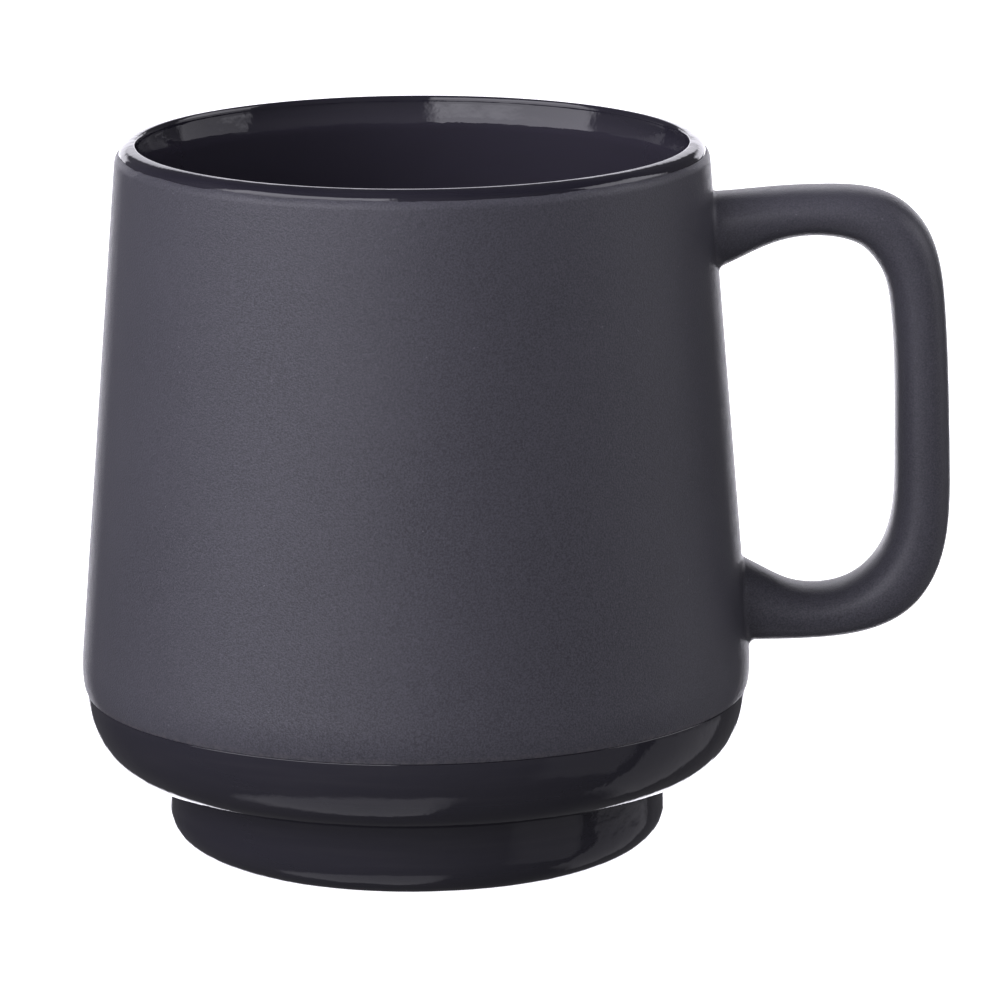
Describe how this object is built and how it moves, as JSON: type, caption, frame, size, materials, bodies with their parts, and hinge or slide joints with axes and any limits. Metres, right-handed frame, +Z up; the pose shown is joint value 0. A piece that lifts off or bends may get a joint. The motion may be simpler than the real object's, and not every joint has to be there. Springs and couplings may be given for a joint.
{
  "type": "ceramic mug",
  "caption": "Flared ceramic mug with a satin outside, gloss inside, rounded rim, squared loop handle, and a stepped foot that stacks in the rim of another mug.",
  "frame": {"origin": "centre of the foot's underside, on the vessel's axis", "axes": "+Z up along the vessel's axis, +X towards the handle"},
  "size_m": [0.1166, 0.0898, 0.095],
  "materials": {
    "bare_clay": "fired unglazed stoneware, dry to the touch",
    "slip": "fired joining slip, wiped smooth",
    "gloss_glaze": "gloss black glaze with a faint blue cast",
    "satin_glaze": "satin charcoal glaze with a fine grain"
  },
  "bodies": {
    "root": {"clay_body": "bare_clay", "handle": "bare_clay", "upper_handle_joint": "slip", "lower_handle_joint": "slip", "liner_glaze": "gloss_glaze", "body_satin_glaze": "satin_glaze", "handle_satin_glaze": "satin_glaze", "base_gloss_glaze": "gloss_glaze", "foot_well_glaze": "gloss_glaze"}
  },
  "joints": []
}
